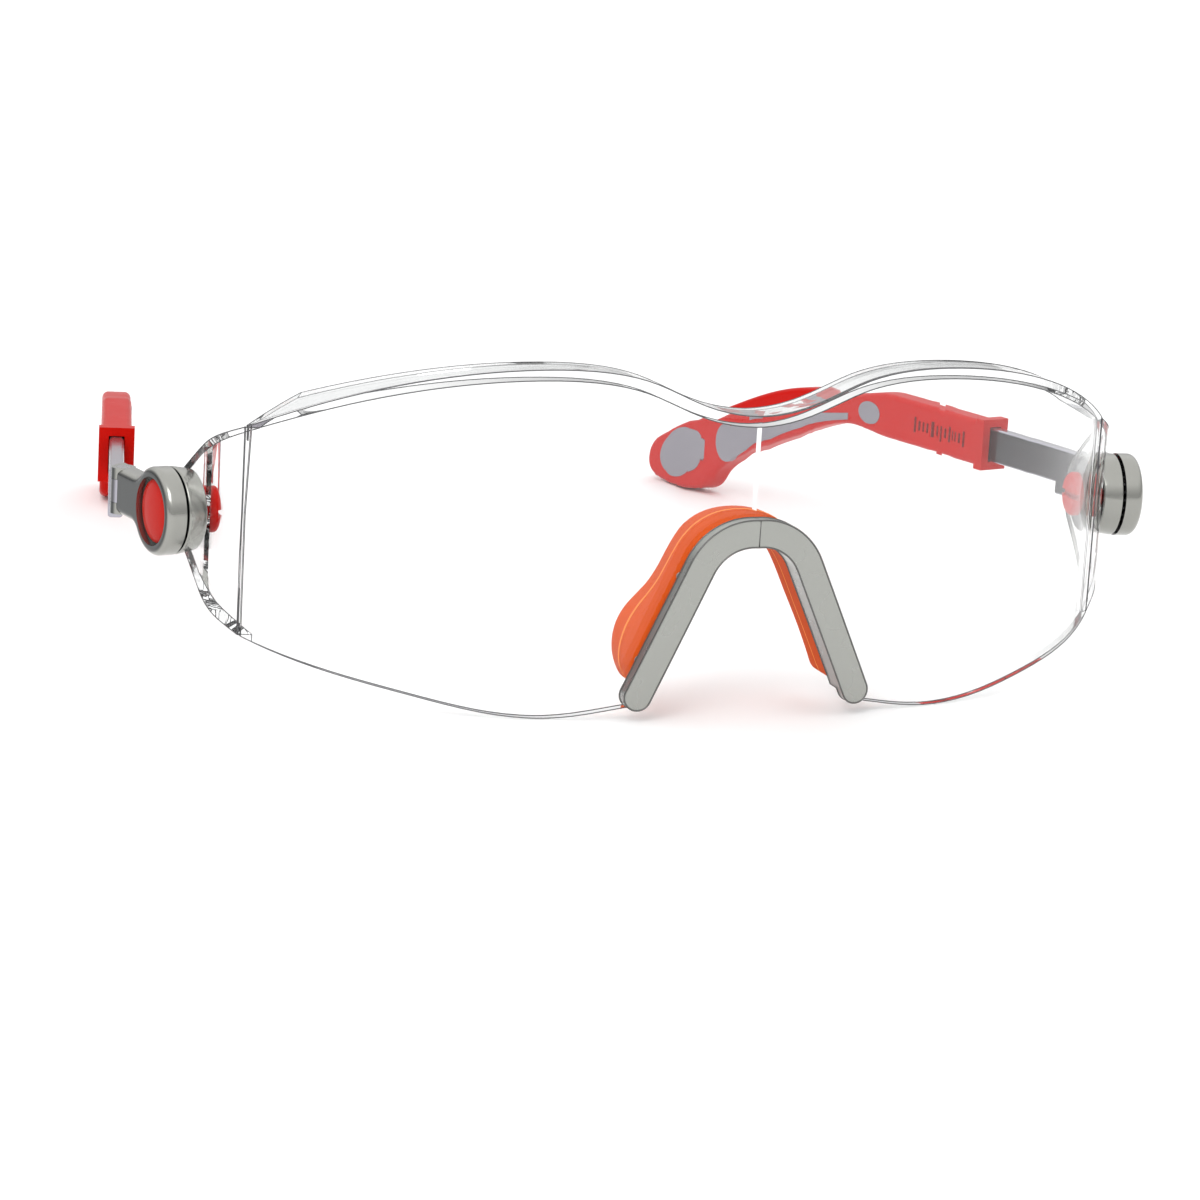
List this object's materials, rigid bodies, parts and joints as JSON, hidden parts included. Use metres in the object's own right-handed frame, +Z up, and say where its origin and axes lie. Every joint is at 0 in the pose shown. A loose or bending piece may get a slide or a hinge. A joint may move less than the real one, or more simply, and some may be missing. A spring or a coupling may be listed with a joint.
{
  "type": "sports protective goggles",
  "caption": "Wrap-around clear safety goggles with a nose bridge and temples that tilt, fold and change length.",
  "frame": {"origin": "centre of the overall box, at its bottom, where the lens and the temple tips stand", "axes": "+X to the wearer's left, +Y from the lens back along the temples, +Z up"},
  "size_m": [0.1626, 0.1714, 0.0497],
  "materials": {
    "clear_lens": "clear polished polycarbonate",
    "silver_plastic": "satin silver metallic paint over moulded plastic",
    "red_plastic": "semi-gloss moulded red plastic",
    "orange_pad": "soft matt orange elastomer",
    "grey_grip": "soft matt grey elastomer",
    "spring_steel": "bright steel"
  },
  "bodies": {
    "front": {"lens": "clear_lens", "nose_bridge_trim": "silver_plastic", "nose_pad": "orange_pad", "left_hub_base": "silver_plastic", "left_detent_ring": "spring_steel", "left_pivot_knob": "red_plastic", "left_pivot_screw": "spring_steel", "right_hub_base": "silver_plastic", "right_detent_ring": "spring_steel", "right_pivot_knob": "red_plastic", "right_pivot_screw": "spring_steel"},
    "left_arm": {"left_tilt_arm": "silver_plastic", "left_hub_disc": "red_plastic", "left_fold_pin": "spring_steel"},
    "left_bar": {"left_temple_bar": "silver_plastic"},
    "left_sleeve": {"left_temple_sleeve": "red_plastic", "left_front_inlay": "grey_grip", "left_strip_inlay": "grey_grip", "left_tip_inlay": "grey_grip", "left_length_leaf": "spring_steel"},
    "right_arm": {"right_tilt_arm": "silver_plastic", "right_hub_disc": "red_plastic", "right_fold_pin": "spring_steel"},
    "right_bar": {"right_temple_bar": "silver_plastic"},
    "right_sleeve": {"right_temple_sleeve": "red_plastic", "right_front_inlay": "grey_grip", "right_strip_inlay": "grey_grip", "right_tip_inlay": "grey_grip", "right_length_leaf": "spring_steel"}
  },
  "joints": [
    {"name": "left_tilt", "type": "hinge", "parent": "front", "child": "left_arm", "pos_m": [0.07233, -0.04706, 0.0236], "axis": [0.9848, -0.1736, 0], "range_deg": [-10, 10]},
    {"name": "left_fold", "type": "hinge", "parent": "left_arm", "child": "left_bar", "pos_m": [0.07946, -0.03512, 0.0241], "axis": [0, 0, 1], "range_deg": [0, 80]},
    {"name": "left_length", "type": "slide", "parent": "left_bar", "child": "left_sleeve", "axis": [-0.2334, 0.9724, 0], "range_m": [-0.006, 0.006]},
    {"name": "right_tilt", "type": "hinge", "parent": "front", "child": "right_arm", "pos_m": [-0.07233, -0.04706, 0.0236], "axis": [0.9848, 0.1736, 0], "range_deg": [-10, 10]},
    {"name": "right_fold", "type": "hinge", "parent": "right_arm", "child": "right_bar", "pos_m": [-0.07946, -0.03512, 0.0241], "axis": [0, 0, -1], "range_deg": [0, 74]},
    {"name": "right_length", "type": "slide", "parent": "right_bar", "child": "right_sleeve", "axis": [0.2334, 0.9724, 0], "range_m": [-0.006, 0.006]}
  ]
}
